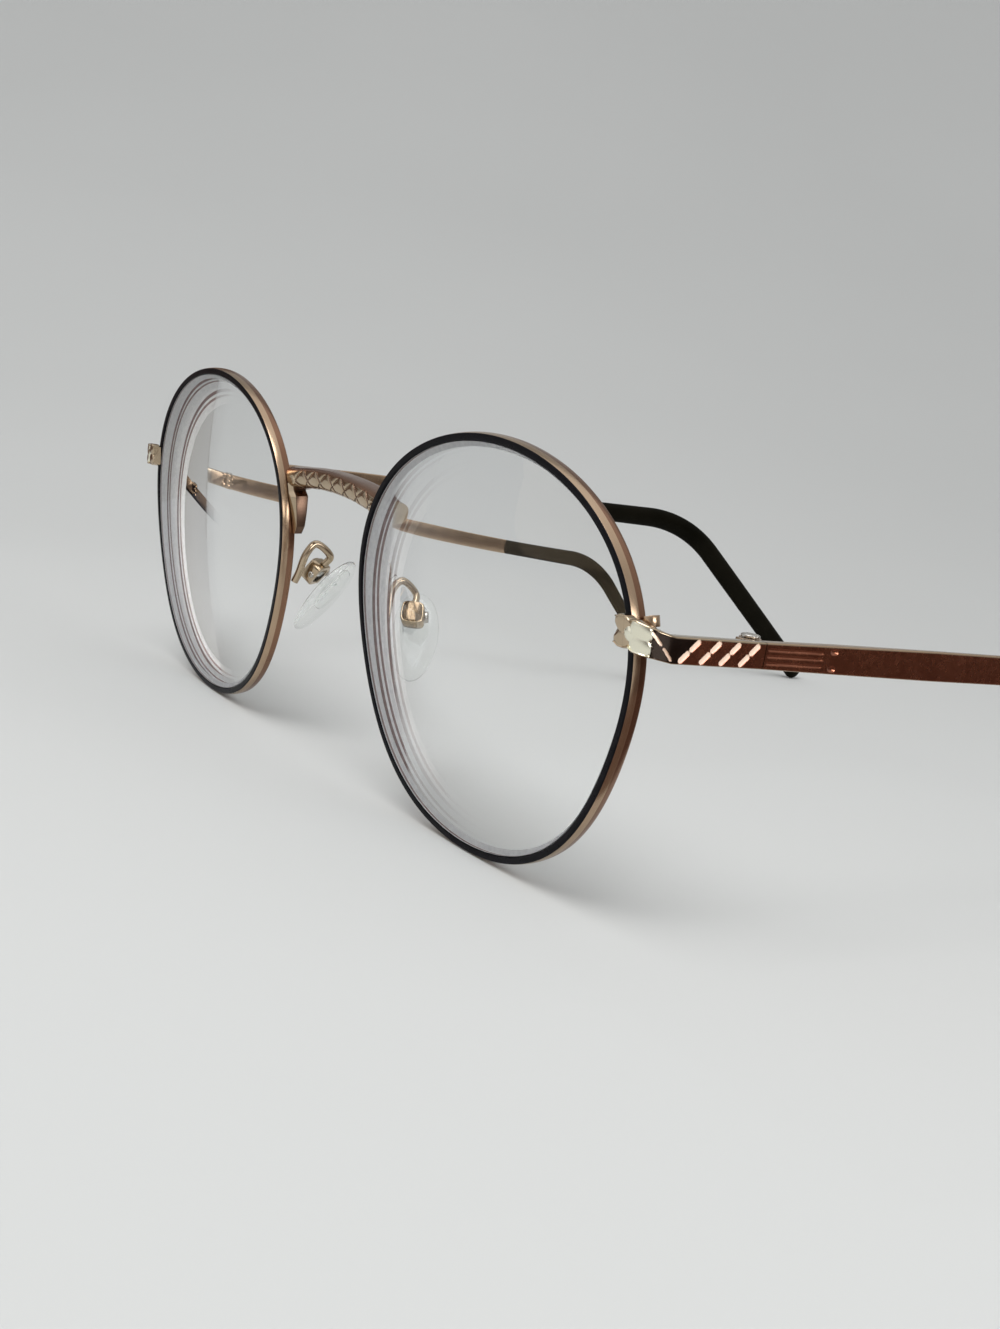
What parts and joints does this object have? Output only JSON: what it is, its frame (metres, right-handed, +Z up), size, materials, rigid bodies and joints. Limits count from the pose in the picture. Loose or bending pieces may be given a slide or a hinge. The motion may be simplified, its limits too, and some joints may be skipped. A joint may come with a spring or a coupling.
{
  "type": "round eyeglasses",
  "caption": "Full-rim round metal eyeglasses with strong minus lenses, arched bridge, adjustable nose pads on wire arms, and temples that fold on screw hinges, with sleeved tips.",
  "frame": {"origin": "middle of the box of the open glasses, on the plane that the rims and the tips rest on", "axes": "+X to the wearer's left, +Y back from the front to the ears, +Z up; the temples run level along +Y"},
  "size_m": [0.134, 0.1536, 0.0468],
  "materials": {
    "frame_metal": "satin rose-gold plating, black lacquer on the front face of the rims",
    "polished_metal": "polished pale-gold plating, engraved",
    "screw_steel": "bright",
    "lens": "clear, coated against reflections",
    "tip_acetate": "semi-gloss black-brown",
    "pad_silicone": "clear silicone",
    "pad_core": "clear stiff insert"
  },
  "bodies": {
    "front": {"rim_left": "frame_metal", "rim_right": "frame_metal", "lens_left": "lens", "lens_right": "lens", "bridge": "polished_metal", "endpiece_left": "polished_metal", "endpiece_right": "polished_metal", "rim_lock_upper_left": "frame_metal", "rim_lock_upper_right": "frame_metal", "rim_lock_lower_left": "frame_metal", "rim_lock_lower_right": "frame_metal", "rim_lock_screw_left": "screw_steel", "rim_lock_screw_right": "screw_steel", "pad_arm_left": "polished_metal", "pad_arm_right": "polished_metal", "pad_box_left": "polished_metal", "pad_box_right": "polished_metal", "pad_screw_left": "screw_steel", "pad_screw_right": "screw_steel", "hinge_front_leaf_left": "frame_metal", "hinge_front_leaf_right": "frame_metal", "hinge_screw_left": "screw_steel", "hinge_screw_right": "screw_steel"},
    "left_arm": {"temple_left": "frame_metal", "temple_tip_left": "tip_acetate", "hinge_temple_leaf_left": "frame_metal"},
    "right_arm": {"temple_right": "frame_metal", "temple_tip_right": "tip_acetate", "hinge_temple_leaf_right": "frame_metal"},
    "left_pad": {"nose_pad_left": "pad_silicone", "pad_core_left": "pad_core"},
    "right_pad": {"nose_pad_right": "pad_silicone", "pad_core_right": "pad_core"}
  },
  "joints": [
    {"name": "left_temple_fold", "type": "hinge", "parent": "front", "child": "left_arm", "pos_m": [0.06355, -0.05924, 0.03033], "axis": [0, 0, 1], "range_deg": [0, 85]},
    {"name": "right_temple_fold", "type": "hinge", "parent": "front", "child": "right_arm", "pos_m": [-0.06355, -0.05924, 0.03033], "axis": [0, 0, -1], "range_deg": [0, 90]},
    {"name": "left_pad_rock", "type": "hinge", "parent": "front", "child": "left_pad", "pos_m": [0.0125, -0.06849, 0.02244], "axis": [0.5299, 0.8417, 0.1034], "range_deg": [-10, 10]},
    {"name": "right_pad_rock", "type": "hinge", "parent": "front", "child": "right_pad", "pos_m": [-0.0125, -0.06849, 0.02244], "axis": [-0.5299, 0.8417, 0.1034], "range_deg": [-10, 10]}
  ]
}
